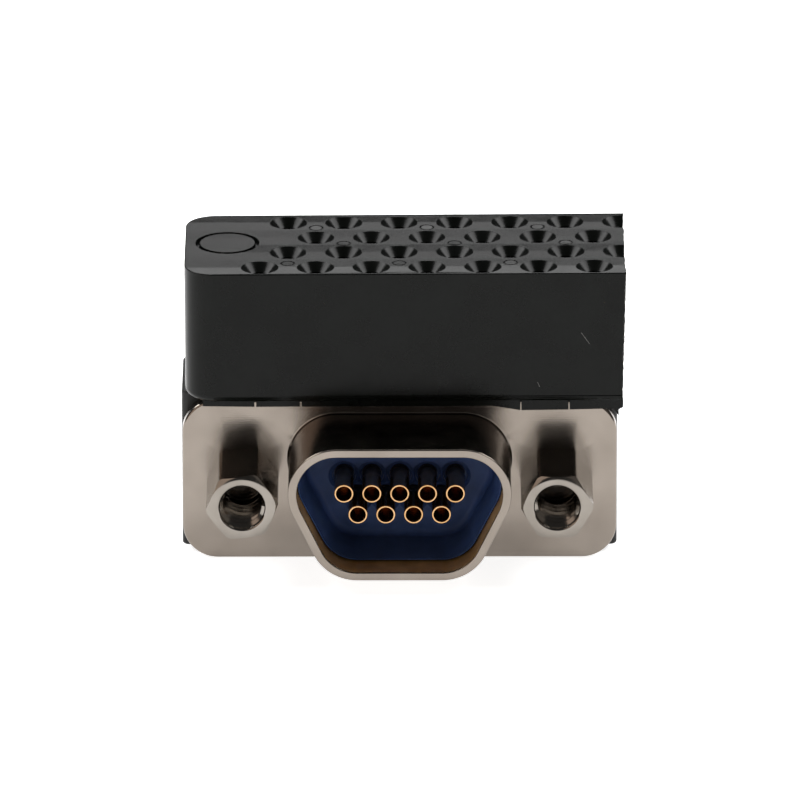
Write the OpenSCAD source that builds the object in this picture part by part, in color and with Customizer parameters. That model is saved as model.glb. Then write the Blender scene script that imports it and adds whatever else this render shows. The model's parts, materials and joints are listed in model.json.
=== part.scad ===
// Right-angle board receptacle of the micro-D kind, board side up, with its tail guard.
// X runs across the connector, -Y points out of the mating face, +Z points to the board side.
// The origin is the centre of the D shroud on the flange's front face. Sizes are millimetres.

/* [Contacts] */
// Contact pitch along a row
contact_pitch = 1.27; // [1.2:0.01:1.5]
// Distance between the two contact rows
row_gap = 1.02; // [1:0.01:1.3]
// Outside diameter of a socket tube
socket_d = 0.875; // [0.75:0.005:0.9]
// Bore of a socket tube
socket_bore_d = 0.63; // [0.5:0.01:0.68]
// How far the sockets stand in front of the flange face
socket_reach = 3.27; // [2.5:0.01:4]
// Depth of a socket's front bore
socket_bore_depth = 3; // [1.5:0.05:3.2]
// Lead-in at the mouth of a socket's bore
socket_lead_in = 0.05; // [0.02:0.01:0.08]
// Step of the shoulder that holds a socket in the insulator
socket_shoulder = 0.06; // [0.04:0.01:0.1]
// Length of that shoulder
socket_shoulder_len = 0.4; // [0.2:0.05:0.6]

/* [Shell] */
// From the outer contacts of the long row to the side of the shroud
shroud_side_margin = 2.54; // [2.3:0.01:2.8]
// From a contact row to the flat side of the shroud
shroud_row_margin = 2.62; // [2.4:0.01:2.9]
// Corner radius of the shroud
shroud_corner_r = 2.2; // [1.8:0.05:2.5]
// How far the lower corners sit inside the upper ones
shroud_taper = 0.95; // [0.6:0.01:1.2]
// How far the shroud stands in front of the flange
shroud_reach = 4.7; // [4.2:0.05:5.5]
// Wall of the shroud
shroud_wall = 0.39; // [0.3:0.01:0.5]
// Rounding of the shroud's front edge
rim_edge_r = 0.06; // [0.05:0.01:0.2]
// Fillet at the foot of the shroud
foot_fillet_r = 0.2; // [0.1:0.01:0.5]
// From the flat side of the shroud to the edge of the flange
flange_margin = 0.72; // [0.6:0.01:1.2]
// From a jackpost's axis to the end of the flange
flange_end = 2.755; // [2.5:0.005:3.2]
// Thickness of the flange
flange_t = 0.8; // [0.6:0.05:1.2]
// Corner radius of the flange
flange_corner_r = 1.6; // [1:0.05:2]
// Rounding of the flange's front edge
flange_edge_r = 0.3; // [0.1:0.01:0.4]

/* [Insulator] */
// How far the insulator's rim stays behind the mouth of the shroud
rim_inset = 1.35; // [0.8:0.05:1.8]
// Wall of the insulator's cup
cup_wall = 0.12; // [0.08:0.01:0.2]
// Fillet at the bottom of the cup
cup_fillet_r = 0.3; // [0.15:0.01:0.4]
// How far the bottom of the cup stands in front of the flange face
face_reach = 0.95; // [0.6:0.01:1.5]
// Gap between a socket and the counterbore round it
counterbore_gap = 0.11; // [0.06:0.01:0.12]
// Depth of that counterbore
counterbore_depth = 0.35; // [0.2:0.05:0.5]
// Chamfer at the mouth of that counterbore
counterbore_chamfer = 0.17; // [0.1:0.01:0.2]
// Thickness of the insulator's shoulder behind the flange
shoulder_t = 0.8; // [0.6:0.05:1.2]
// Thickness of the rear insulator
rear_t = 0.8; // [0.6:0.05:1.2]

/* [Jackposts] */
// From the side of the shroud to a jackpost's axis
post_offset = 2.095; // [2.05:0.005:2.5]
// Size of the hexagon across its flats
post_flats = 2.95; // [2.5:0.01:3]
// How far a jackpost stands in front of the flange
post_reach = 3.7; // [3:0.05:4.5]
// Diameter of the turned front edge
post_nose_d = 2.95; // [2.6:0.01:3.1]
// Height of the turned chamfer at the hexagon's corners
post_nose_h = 0.16; // [0.1:0.01:0.4]
// Minor diameter of the female thread
thread_minor_d = 1.78; // [1.6:0.01:1.9]
// Depth of the female thread
thread_depth = 3; // [2:0.05:3.2]
// Diameter of the countersink in front of the thread
countersink_d = 2.33; // [2:0.01:2.5]
// Diameter of the threaded shank
shank_d = 2.18; // [2:0.01:2.3]
// How far the left jackpost is turned from level, in degrees
left_post_turn = 8; // [0:1:15]

/* [Inserts] */
// Outside diameter of a brass insert
insert_d = 3; // [2.8:0.05:3.2]
// Length of a jackpost insert
post_insert_len = 3; // [2.5:0.05:3.5]
// Length of a board insert
board_insert_len = 2.1; // [1.5:0.05:2.2]
// Depth of the groove that keys an insert
insert_groove = 0.2; // [0.1:0.01:0.3]
// Length of the band at each end of that groove
insert_band = 0.7; // [0.4:0.05:0.8]
// From the flange's back face to the axis of a board insert
board_insert_back = 2.5; // [2:0.05:2.8]

/* [Housing] */
// How far the board face stands above the flange's edge
board_gap = 0.15; // [0.1:0.01:0.5]
// How far the housing's underside stays above the flange's lower edge
underside_gap = 0.3; // [0:0.01:0.5]
// How far the housing stands out past the flange's ends
ear_overhang = 0.04; // [0:0.01:0.2]
// Plastic behind a jackpost insert
ear_back_wall = 1.7; // [1:0.05:2]
// Wall beside and behind the tail well
well_wall = 0.9; // [0.6:0.05:1.2]
// Wall between the insulator's pocket and the tail well
pocket_wall = 0.6; // [0.4:0.05:0.8]
// Free space round the tails in the well
well_gap = 0.35; // [0.25:0.01:0.5]
// Corner radius of the housing, seen from the board side
housing_corner_r = 0.3; // [0.1:0.05:0.5]

/* [Tails] */
// Diameter of a tail wire
tail_d = 0.5; // [0.4:0.01:0.55]
// Inside bend of a tail, measured at its centre line
tail_bend_r = 0.5; // [0.4:0.01:0.6]
// How far the tails stand above the board face
tail_reach = 4; // [3:0.05:5]
// How much a tail swells where it is bent to spread
elbow_swell = 0.04; // [0.035:0.005:0.06]
// Length of the chamfer at a tail's tip
tail_tip = 0.2; // [0.1:0.01:0.3]
// How deep a tail sits in its socket's rear barrel
tail_seat = 1; // [0.6:0.05:1.2]
// Thickness of the tail locator
locator_t = 0.8; // [0.5:0.05:0.9]
// Width of the ledge under the tail locator
locator_ledge = 0.25; // [0.15:0.01:0.3]

/* [Tail guard] */
// Height of the guard
guard_h = 6.27; // [5.5:0.01:8]
// Depth of the guard, front to back
guard_depth = 8; // [7.8:0.05:10]
// How far the guard stands in front of the flange face
guard_overhang = 0.8; // [0.4:0.05:1]
// How far the moulded end stays inside the flange's end
guard_end_inset = 0.13; // [0:0.01:0.5]
// How far the cut end passes the flange's end
guard_cut_overhang = 0.37; // [0.2:0.01:0.5]
// Corner radius at the moulded end
guard_corner_r = 1.4; // [0.8:0.05:1.8]
// Rounding of the lower edge
guard_edge_r = 0.4; // [0.2:0.05:0.6]
// Hole pitch along a row
guard_pitch = 2.54; // [2.4:0.01:2.6]
// Distance between rows of holes
guard_row_gap = 2; // [1.9:0.01:2.1]
// From the front of the guard to the first row of holes
guard_row_inset = 0.95; // [0.9:0.01:1.1]
// Bore of a hole in the guard
guard_bore_d = 0.9; // [0.85:0.01:1]
// Diameter of the countersink on a hole
guard_countersink_d = 1.7; // [1.3:0.05:1.75]
// Diameter of the round mark at the moulded end
mark_d = 2.95; // [2:0.05:3.2]
// Width of the groove round that mark
mark_groove_w = 0.2; // [0.05:0.01:0.25]
// Depth of that groove
mark_groove_depth = 0.12; // [0.03:0.01:0.15]
// From the moulded end to the centre of the mark
mark_inset = 1.9; // [1.8:0.05:2.2]

/* [Clearances] */
// Between parts that are pushed together
push_gap = 0.02; // [0.01:0.005:0.04]
// Between moulded parts and the metal round them
seat_gap = 0.05; // [0.02:0.005:0.08]
// Round a screw shank in a plain hole
screw_gap = 0.1; // [0.05:0.01:0.2]

/* [Hidden] */
$fn = 64;
// How far a cutter passes the face that it opens
cut = 0.5;
// How far the stretches that fill an outline run into each other
lap = 0.2;
sides = [-1, 1];
side_names = ["left", "right"];
// Contacts in the long row, one more than in the short row
top_count = 5;
contact_count = 2 * top_count - 1;
contact_ids = [for (i = [0 : contact_count - 1]) i];

// Shell, worked out from the contact pattern
shroud_w = (top_count - 1) * contact_pitch + 2 * shroud_side_margin;
shroud_h = row_gap + 2 * shroud_row_margin;
shroud_inner_r = shroud_corner_r - shroud_wall;
upper_x = shroud_w / 2 - shroud_corner_r;
corner_z = shroud_h / 2 - shroud_corner_r;
d_shape = [upper_x, upper_x - shroud_taper, corner_z];
post_x = shroud_w / 2 + post_offset;
flange_w = 2 * (post_x + flange_end);
flange_h = shroud_h + 2 * flange_margin;
flange_shape = box_shape(flange_w, flange_h, flange_corner_r);

// Depths behind the flange face
shoulder_back = flange_t + shoulder_t;
rear_back = shoulder_back + rear_t;
well_front = rear_back + pocket_wall;
ear_back = flange_t + post_insert_len + ear_back_wall;
board_insert_y = flange_t + board_insert_back;

// Guard and tail grid
board_z = flange_h / 2 + board_gap;
guard_left = -flange_w / 2 + guard_end_inset;
guard_cut_x = flange_w / 2 + guard_cut_overhang;
// First hole of each row from the front, counted in pitches from the middle, and the rows that take tails
guard_first_index = [-2.5, -2, -1.5, -2];
long_row_index = 3;
short_row_index = 2;
long_row_reach = (top_count - 1) / 2 * guard_pitch;
short_row_reach = (top_count - 2) / 2 * guard_pitch;
mark_x = guard_left + mark_inset;

// Tail well in the housing
tail_room = tail_d / 2 + well_gap;
channel_x = (top_count - 1) / 2 * contact_pitch + tail_room;
channel_z = row_gap / 2 + tail_room;
well_split = (row_y(short_row_index) + row_y(long_row_index)) / 2;
well_back = row_y(long_row_index) + tail_room;
well_floor = row_gap / 2 + tail_d / 2;
short_well_x = short_row_reach + tail_room;
long_well_x = long_row_reach + tail_room;
locator_floor = board_z - locator_t;
// Heights between which the tails spread
fan_low = row_gap / 2 + tail_bend_r + tail_d / 4;
fan_high = locator_floor - tail_d / 2;
tail_top = board_z + tail_reach;
housing_bottom = -flange_h / 2 + underside_gap;
housing_w = flange_w + 2 * ear_overhang;
housing_back = well_back + locator_ledge + well_wall;
core_w = 2 * (long_well_x + locator_ledge + well_wall);

// A symmetric outline is given by its corner centres: upper half width, lower half width, half height
function box_shape(w, h, r) = [w / 2 - r, w / 2 - r, h / 2 - r];

// Place of a contact in the mating face, the long row first
function in_top_row(i) = i < top_count;
function place_in_row(i) = in_top_row(i) ? i - (top_count - 1) / 2 : i - top_count - (top_count - 2) / 2;
function contact_x(i) = place_in_row(i) * contact_pitch;
function contact_z(i) = in_top_row(i) ? row_gap / 2 : -row_gap / 2;

// Place of a tail on the board grid
function row_y(row) = -guard_overhang + guard_row_inset + row * guard_row_gap;
function tail_x(i) = place_in_row(i) * guard_pitch;
function tail_y(i) = row_y(in_top_row(i) ? long_row_index : short_row_index);

// Walks up both sides of an outline from the middle of its lower edge. +Y runs on along the outline and
// +X points out of it. The first child is a straight stretch of length $run, which needs filling $depth
// inwards, and the second child is a corner.
module walk(shape) {
    lean = shape[0] - shape[1];
    side_run = norm([lean, 2 * shape[2]]);
    slant = atan2(lean, 2 * shape[2]);
    middle = shape[2] + lap;
    for (flip = [0, 1])
        mirror([flip, 0, 0])
            translate([0, -shape[2]])
                rotate(-90) {
                    let ($run = shape[1], $depth = middle)
                        children(0);
                    translate([0, shape[1]]) {
                        children(1);
                        rotate(90 - slant) {
                            let ($run = side_run, $depth = lean + lap)
                                children(0);
                            translate([0, side_run]) {
                                children(1);
                                rotate(90 + slant)
                                    let ($run = shape[0] + lap, $depth = middle)
                                        children(0);
                            }
                        }
                    }
                }
}

// Filled outline with corners of radius r
module outline(shape, r) {
    walk(shape) {
        polygon([[-$depth, 0], [r, 0], [r, $run], [-$depth, $run]]);
        circle(r);
    }
}

// Carries a section (out from the corner centres, up) round an outline
module carry(shape) {
    walk(shape) {
        translate([0, $run, 0])
            rotate([90, 0, 0])
                linear_extrude($run)
                    children();
        rotate_extrude()
            children();
    }
}

// Plate on the given outline with a rounded top edge
module rounded_plate(shape, r, t, edge_r) {
    linear_extrude(t)
        outline(shape, r / 2);
    carry(shape) {
        square([r - edge_r, t]);
        square([r, t - edge_r]);
        translate([r - edge_r, t - edge_r])
            circle(edge_r);
    }
}

// Turns a plate drawn flat so that its top faces the front, at depth y
module facing_front(y) {
    translate([0, y, 0])
        rotate([90, 0, 0])
            children();
}

// Extrudes a front view from depth y_front to y_back
module front_view(y_front, y_back) {
    facing_front(y_back)
        linear_extrude(y_back - y_front)
            children();
}

// Round bar along Y
module bar_y(x, z, d, y_front, y_back) {
    front_view(y_front, y_back)
        translate([x, z])
            circle(d = d);
}

// Box given by its lowest and highest corners
module block(low, high) {
    translate(low)
        cube(high - low);
}

// Round bar between two points
module bar(start, end, d) {
    reach = end - start;
    translate(start)
        rotate([0, acos(reach.z / norm(reach)), atan2(reach.y, reach.x)])
            cylinder(d = d, h = norm(reach));
}

module shell() {
    color("lightgray")
        difference() {
            union() {
                facing_front(flange_t)
                    rounded_plate(flange_shape, flange_corner_r, flange_t, flange_edge_r);
                facing_front(0)
                    rounded_plate(d_shape, shroud_corner_r, shroud_reach, rim_edge_r);
                facing_front(0)
                    carry(d_shape)
                        translate([shroud_corner_r, 0])
                            difference() {
                                square(foot_fillet_r);
                                translate([foot_fillet_r, foot_fillet_r])
                                    circle(foot_fillet_r);
                            }
            }
            front_view(-shroud_reach - cut, flange_t + cut)
                outline(d_shape, shroud_inner_r);
            for (side = sides)
                bar_y(side * post_x, 0, shank_d + 2 * screw_gap, -cut, flange_t + cut);
        }
}

module insulator() {
    insulator_reach = shroud_reach - rim_inset;
    plug_r = shroud_inner_r - seat_gap;
    cup_depth = insulator_reach - face_reach;
    bore_d = socket_d + 2 * push_gap;
    counterbore_d = socket_d + 2 * counterbore_gap;
    shoulder_d = socket_d + 2 * (socket_shoulder + push_gap);
    color("navy")
        difference() {
            union() {
                front_view(-insulator_reach, flange_t)
                    outline(d_shape, plug_r);
                front_view(flange_t, shoulder_back)
                    outline(d_shape, shroud_corner_r);
            }
            translate([0, -insulator_reach - cut, 0])
                rotate([-90, 0, 0])
                    mirror([0, 1, 0])
                        rounded_plate(d_shape, plug_r - cup_wall, cup_depth + cut, cup_fillet_r);
            for (i = contact_ids) {
                bar_y(contact_x(i), contact_z(i), bore_d, -face_reach - cut, shoulder_back + cut);
                bar_y(contact_x(i), contact_z(i), counterbore_d, -face_reach - cut,
                    -face_reach + counterbore_depth);
                bar_y(contact_x(i), contact_z(i), shoulder_d, shoulder_back - socket_shoulder_len,
                    shoulder_back + cut);
                translate([contact_x(i), -face_reach, contact_z(i)])
                    rotate([-90, 0, 0])
                        cylinder(d1 = counterbore_d + 2 * counterbore_chamfer, d2 = counterbore_d,
                            h = counterbore_chamfer);
            }
        }
}

module rear_insulator() {
    color("midnightblue")
        difference() {
            front_view(shoulder_back, rear_back)
                outline(d_shape, shroud_corner_r);
            for (i = contact_ids)
                bar_y(contact_x(i), contact_z(i), tail_d + 2 * push_gap, shoulder_back - cut,
                    rear_back + cut);
        }
}

// Turned tube with a bored front, a shoulder and a rear barrel for its tail
module socket(i) {
    tube_r = socket_d / 2;
    bore_r = socket_bore_d / 2;
    barrel_r = tail_d / 2 + push_gap;
    length = socket_reach + shoulder_back;
    color("gold")
        translate([contact_x(i), -socket_reach, contact_z(i)])
            rotate([-90, 0, 0])
                rotate_extrude()
                    polygon([
                        [0, socket_bore_depth],
                        [bore_r, socket_bore_depth],
                        [bore_r, socket_lead_in],
                        [bore_r + socket_lead_in, 0],
                        [tube_r, 0],
                        [tube_r, length - socket_shoulder_len],
                        [tube_r + socket_shoulder, length - socket_shoulder_len],
                        [tube_r + socket_shoulder, length],
                        [barrel_r, length],
                        [barrel_r, length - tail_seat],
                        [0, length - tail_seat]
                    ]);
}

// Wire that runs back from its socket, bends up, spreads to the board grid and ends in a chamfer
module tail(i) {
    x = contact_x(i);
    y = tail_y(i);
    z = contact_z(i);
    spread = [x, y, fan_low];
    straight = [tail_x(i), y, fan_high];
    tip = [tail_x(i), y, tail_top - tail_tip];
    color("khaki")
        union() {
            bar_y(x, z, tail_d, shoulder_back - tail_seat, y - tail_bend_r);
            translate([x, y - tail_bend_r, z + tail_bend_r])
                rotate([0, 90, 0])
                    rotate_extrude(angle = 90)
                        translate([tail_bend_r, 0])
                            circle(d = tail_d);
            bar([x, y, z + tail_bend_r], spread, tail_d);
            bar(spread, straight, tail_d);
            bar(straight, tip, tail_d);
            for (elbow = [spread, straight])
                translate(elbow)
                    sphere(d = tail_d + 2 * elbow_swell);
            translate(tip)
                cylinder(d1 = tail_d, d2 = tail_d - tail_tip, h = tail_tip);
        }
}

// Hexagonal post with a turned nose, a female thread bore and a threaded shank behind
module jackpost(side) {
    hex_d = post_flats / cos(30);
    countersink_depth = (countersink_d - thread_minor_d) / 2;
    color("silver") {
        facing_front(0)
            translate([side * post_x, 0, 0])
                difference() {
                    intersection() {
                        rotate(side < 0 ? left_post_turn : 0)
                            cylinder(d = hex_d, h = post_reach, $fn = 6);
                        cylinder(d1 = post_nose_d + (hex_d - post_nose_d) * post_reach / post_nose_h,
                            d2 = post_nose_d, h = post_reach);
                    }
                    translate([0, 0, post_reach - thread_depth])
                        cylinder(d = thread_minor_d, h = thread_depth + cut);
                    translate([0, 0, post_reach - countersink_depth])
                        cylinder(d1 = thread_minor_d, d2 = countersink_d, h = countersink_depth);
                }
        bar_y(side * post_x, 0, shank_d, 0, flange_t + post_insert_len);
    }
}

// Brass bush with a keying groove, drawn upright from its lower end
module insert(bore_d, length) {
    rotate_extrude()
        polygon([
            [bore_d / 2, 0],
            [insert_d / 2, 0],
            [insert_d / 2, insert_band],
            [insert_d / 2 - insert_groove, insert_band],
            [insert_d / 2 - insert_groove, length - insert_band],
            [insert_d / 2, length - insert_band],
            [insert_d / 2, length],
            [bore_d / 2, length]
        ]);
}

module jackpost_insert(side) {
    color("goldenrod")
        translate([side * post_x, flange_t, 0])
            rotate([-90, 0, 0])
                insert(shank_d + 2 * push_gap, post_insert_len);
}

module board_insert(side) {
    color("goldenrod")
        translate([side * post_x, board_insert_y, board_z - board_insert_len])
            insert(thread_minor_d, board_insert_len);
}

// Rectangle with rounded corners, given by its lowest and highest corners
module round_rectangle(low, high, r) {
    translate((low + high) / 2)
        outline(box_shape(high.x - low.x, high.y - low.y, r), r);
}

// Plan of the tail well, grown on all sides: narrow between the inserts, wide behind them
module well_plan(grow) {
    for (part = [[short_well_x, well_front], [long_well_x, well_split]])
        translate([-part.x - grow, part.y - grow])
            square([2 * (part.x + grow), well_back - part.y + 2 * grow]);
}

module housing() {
    bush_d = insert_d + 2 * push_gap;
    color("dimgray")
        difference() {
            translate([0, 0, housing_bottom])
                linear_extrude(board_z - housing_bottom) {
                    round_rectangle([-housing_w / 2, flange_t], [housing_w / 2, ear_back], housing_corner_r);
                    round_rectangle([-core_w / 2, flange_t], [core_w / 2, housing_back], housing_corner_r);
                }
            front_view(flange_t - cut, rear_back)
                outline(d_shape, shroud_corner_r + seat_gap);
            block([-channel_x, rear_back - cut, -channel_z], [channel_x, well_back, channel_z]);
            translate([0, 0, well_floor])
                linear_extrude(board_z)
                    well_plan(0);
            translate([0, 0, locator_floor])
                linear_extrude(board_z)
                    well_plan(locator_ledge + seat_gap);
            for (side = sides) {
                bar_y(side * post_x, 0, bush_d, flange_t - cut, flange_t + post_insert_len + push_gap);
                translate([side * post_x, board_insert_y, board_z - board_insert_len - push_gap])
                    cylinder(d = bush_d, h = board_insert_len + cut);
            }
        }
}

module tail_locator() {
    color("darkslategray")
        difference() {
            translate([0, 0, locator_floor])
                linear_extrude(locator_t)
                    well_plan(locator_ledge);
            for (i = contact_ids)
                translate([tail_x(i), tail_y(i), locator_floor - cut])
                    cylinder(d = tail_d + 2 * push_gap, h = locator_t + 2 * cut);
        }
}

// Through hole with a countersunk top, centred on the guard's grid
module guard_hole(x, y) {
    top = board_z + guard_h;
    sink = (guard_countersink_d - guard_bore_d) / 2;
    translate([x, y, board_z - cut])
        cylinder(d = guard_bore_d, h = guard_h + 2 * cut);
    translate([x, y, top - sink])
        cylinder(d1 = guard_bore_d, d2 = guard_countersink_d, h = sink);
}

module tail_guard() {
    strip_w = guard_cut_x - guard_left + guard_pitch;
    strip_shape = box_shape(strip_w, guard_depth, guard_corner_r);
    last_hole = guard_cut_x + guard_countersink_d / 2;
    color("black")
        difference() {
            translate([guard_left + strip_w / 2, guard_depth / 2 - guard_overhang, board_z + guard_h])
                rotate([180, 0, 0])
                    rounded_plate(strip_shape, guard_corner_r, guard_h, guard_edge_r);
            block([guard_cut_x, -guard_overhang - cut, board_z - cut],
                [guard_cut_x + strip_w, guard_depth, board_z + guard_h + cut]);
            for (row = [0 : len(guard_first_index) - 1])
                for (x = [guard_first_index[row] * guard_pitch : guard_pitch : last_hole])
                    guard_hole(x, row_y(row));
            translate([mark_x, guard_depth / 2 - guard_overhang, board_z + guard_h - mark_groove_depth])
                difference() {
                    cylinder(d = mark_d, h = mark_groove_depth + cut);
                    cylinder(d = mark_d - 2 * mark_groove_w, h = mark_groove_depth + cut);
                }
        }
}

shell();
insulator();
rear_insulator();
for (i = contact_ids) {
    socket(i);
    tail(i);
}
for (k = [0, 1]) {
    jackpost(sides[k]);
    jackpost_insert(sides[k]);
    board_insert(sides[k]);
}
housing();
tail_locator();
tail_guard();
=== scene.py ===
"""Looks of a right-angle micro-D board receptacle with its tail guard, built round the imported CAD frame."""
import json
import logging
import math
from collections.abc import Callable, Iterator, Sequence
from contextlib import contextmanager
from dataclasses import dataclass
from enum import Enum
from itertools import pairwise

import bmesh
import bpy
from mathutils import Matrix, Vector


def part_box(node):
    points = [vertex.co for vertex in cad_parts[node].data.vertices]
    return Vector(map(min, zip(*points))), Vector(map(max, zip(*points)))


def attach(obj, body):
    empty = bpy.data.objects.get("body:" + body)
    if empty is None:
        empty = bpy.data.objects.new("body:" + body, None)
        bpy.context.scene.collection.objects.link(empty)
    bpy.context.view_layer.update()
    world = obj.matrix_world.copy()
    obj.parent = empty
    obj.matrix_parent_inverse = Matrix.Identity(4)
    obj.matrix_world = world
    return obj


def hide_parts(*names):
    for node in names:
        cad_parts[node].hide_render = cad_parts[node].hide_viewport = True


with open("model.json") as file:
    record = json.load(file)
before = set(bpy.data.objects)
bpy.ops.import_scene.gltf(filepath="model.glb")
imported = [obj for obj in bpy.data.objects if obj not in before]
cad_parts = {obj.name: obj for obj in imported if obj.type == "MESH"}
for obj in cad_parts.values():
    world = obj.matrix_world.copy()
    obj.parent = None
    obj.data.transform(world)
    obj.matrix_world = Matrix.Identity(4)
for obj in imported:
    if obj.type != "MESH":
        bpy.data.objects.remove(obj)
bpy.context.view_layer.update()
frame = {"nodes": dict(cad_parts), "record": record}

Colour = tuple[float, float, float]
Point = tuple[float, float]
Materials = dict[str, bpy.types.Material]

# Units in metres, then how far apart two places and two vertices may be and still count as one.
MM = 0.001
MICRON = 1e-6
EPS = 1e-7
MERGE = 10 * EPS
# Millimetres in a metre.
METRE = 1000
# Place of the jackposts' axes on both sides of the middle, in millimetres.
POST_X = 7.175
SOCKET_COUNT = 9
WHITE: Colour = (1, 1, 1)
BLACK: Colour = (0, 0, 0)

log = logging.getLogger("connector")


class Part(Enum):
    """Kind of mesh element that a pick selects."""

    VERT = (True, False, False)
    EDGE = (False, True, False)
    FACE = (False, False, True)


class Axis(Enum):
    """Axis of the frame, by its place in a vector."""

    X = 0
    Y = 1
    Z = 2


class Body(Enum):
    """Moving bodies of the part."""

    CONNECTOR = "connector"
    GUARD = "guard"


def arc(centre: Point, radius: float, start: float, end: float, steps: int) -> list[Point]:
    """Points on an arc.

    Args:
        centre: Centre of the arc.
        radius: Radius of the arc.
        start: Angle of the first point, in degrees.
        end: Angle of the last point, in degrees.
        steps: Number of stretches.

    Returns:
        The points from start to end.
    """
    angles = [math.radians(start + (end - start) * i / steps) for i in range(steps + 1)]
    return [(centre[0] + radius * math.cos(a), centre[1] + radius * math.sin(a)) for a in angles]


def span(edge: bmesh.types.BMEdge, axis: Axis) -> float:
    """Length of an edge along an axis, in metres."""
    return abs(edge.verts[0].co[axis.value] - edge.verts[1].co[axis.value])


def lies_at(item: bmesh.types.BMEdge | bmesh.types.BMFace, axis: Axis, place: float,
            slack: float = EPS) -> bool:
    """Whether all of an edge or a face lies at one place along an axis, in metres."""
    return all(abs(vertex.co[axis.value] - place) < slack for vertex in item.verts)


class Bench:
    """Modelling bench: Blender's operators, with selection made in code. Sizes are millimetres."""

    @staticmethod
    def activate(*objects: bpy.types.Object) -> None:
        """Select these objects only.

        Args:
            objects: What is selected, with the first one active.
        """
        bpy.ops.object.select_all(action="DESELECT")
        for obj in objects:
            obj.select_set(True)
        if objects:
            bpy.context.view_layer.objects.active = objects[0]

    @staticmethod
    def named(name: str) -> bpy.types.Object:
        """Name the object that was just added and put its place into its mesh.

        Args:
            name: Its new name.

        Returns:
            The object.
        """
        obj = bpy.context.active_object
        obj.name = obj.data.name = name
        bpy.ops.object.transform_apply(location=True, rotation=True, scale=True)
        return obj

    @staticmethod
    @contextmanager
    def editing(obj: bpy.types.Object) -> Iterator[None]:
        """Hold one object in edit mode with all of it selected.

        Args:
            obj: The object.

        Yields:
            Nothing, while the object is in edit mode.
        """
        Bench.activate(obj)
        bpy.ops.object.mode_set(mode="EDIT")
        bpy.context.tool_settings.mesh_select_mode = Part.VERT.value
        bpy.ops.mesh.select_all(action="SELECT")
        yield
        bpy.ops.object.mode_set(mode="OBJECT")

    @staticmethod
    def pick(obj: bpy.types.Object, part: Part, test: Callable[..., bool]) -> None:
        """Select the elements of an object in edit mode that pass a test.

        Args:
            obj: Object that is being edited.
            part: Kind of element.
            test: Takes one element and says whether it is wanted.
        """
        bpy.ops.mesh.select_all(action="DESELECT")
        bpy.context.tool_settings.mesh_select_mode = part.value
        mesh = bmesh.from_edit_mesh(obj.data)
        elements = {Part.VERT: mesh.verts, Part.EDGE: mesh.edges, Part.FACE: mesh.faces}[part]
        wanted = [element for element in elements if test(element)]
        for element in wanted:
            element.select_set(True)
        mesh.select_flush_mode()
        bmesh.update_edit_mesh(obj.data)

    @staticmethod
    def box(name: str, low: Sequence[float], high: Sequence[float]) -> bpy.types.Object:
        """Add a block.

        Args:
            name: Name of the new object.
            low: Its lowest corner.
            high: Its highest corner.

        Returns:
            The new object.
        """
        Bench.activate()
        middle = [(a + b) / 2 * MM for a, b in zip(low, high)]
        size = [(b - a) * MM for a, b in zip(low, high)]
        bpy.ops.mesh.primitive_cube_add(size=1, location=middle, scale=size)
        return Bench.named(name)

    @staticmethod
    def polyline(name: str, points: Sequence[Sequence[float]], closed: bool = False) -> bpy.types.Object:
        """Draw a chain of edges by extruding one vertex.

        Args:
            name: Name of the new object.
            points: Corners of the chain.
            closed: Whether the last corner is joined to the first.

        Returns:
            The new object.
        """
        Bench.activate()
        corners = [Vector(p) * MM for p in points]
        bpy.ops.mesh.primitive_plane_add(size=MM, location=corners[0])
        obj = Bench.named(name)
        with Bench.editing(obj):
            bpy.ops.mesh.merge(type="CENTER")
            for a, b in pairwise(corners):
                bpy.ops.mesh.extrude_region_move(TRANSFORM_OT_translate={"value": b - a})
            if closed:
                Bench.pick(obj, Part.VERT, lambda v: len(v.link_edges) == 1)
                bpy.ops.mesh.edge_face_add()
        return obj

    @staticmethod
    def extrude(shift: Sequence[float]) -> None:
        """Extrude what is selected."""
        bpy.ops.mesh.extrude_region_move(TRANSFORM_OT_translate={"value": Vector(shift) * MM})

    @staticmethod
    def spin(angle: float, centre: Sequence[float], steps: int, axis: Sequence[float] = (0, 1, 0)) -> None:
        """Sweep what is selected about an axis, by an angle in degrees."""
        bpy.ops.mesh.spin(steps=steps, angle=math.radians(angle), center=Vector(centre) * MM, axis=axis)

    @staticmethod
    def bevel(size: float, steps: int = 1) -> None:
        """Bevel the selected edges."""
        bpy.ops.mesh.bevel(offset=size * MM, segments=steps, affect="EDGES")

    @staticmethod
    def rotate(angle: float, axis: Axis, centre: Sequence[float]) -> None:
        """Turn what is selected about a point, by an angle in degrees."""
        pivot = Vector(centre) * MM
        bpy.ops.transform.rotate(value=math.radians(angle), orient_axis=axis.name, center_override=pivot)

    @staticmethod
    def clean(obj: bpy.types.Object) -> None:
        """Merge doubled vertices and point all normals outwards.

        Args:
            obj: Object to clean.
        """
        with Bench.editing(obj):
            bpy.ops.mesh.remove_doubles(threshold=MERGE)
            bpy.ops.mesh.normals_make_consistent(inside=False)

    @staticmethod
    def turned(name: str, profile: Sequence[Point], place: Sequence[float], steps: int,
               upright: bool = False) -> bpy.types.Object:
        """Turn a profile about an axis along Y, or along Z where it is upright.

        Args:
            name: Name of the new object.
            profile: Radius and depth of every corner, from axis to axis or a closed ring.
            place: A point on the axis.
            steps: Stretches round the axis.
            upright: Whether the axis runs along Z.

        Returns:
            The new object.
        """
        at = Vector(place)
        run = Vector((0, 0, 1)) if upright else Vector((0, 1, 0))
        closed = all(radius > 0 for radius, _ in profile)
        obj = Bench.polyline(name, [at + Vector((r, 0, 0)) + run * d for r, d in profile], closed)
        with Bench.editing(obj):
            Bench.spin(360, at, steps, run)
        Bench.clean(obj)
        return obj

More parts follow.
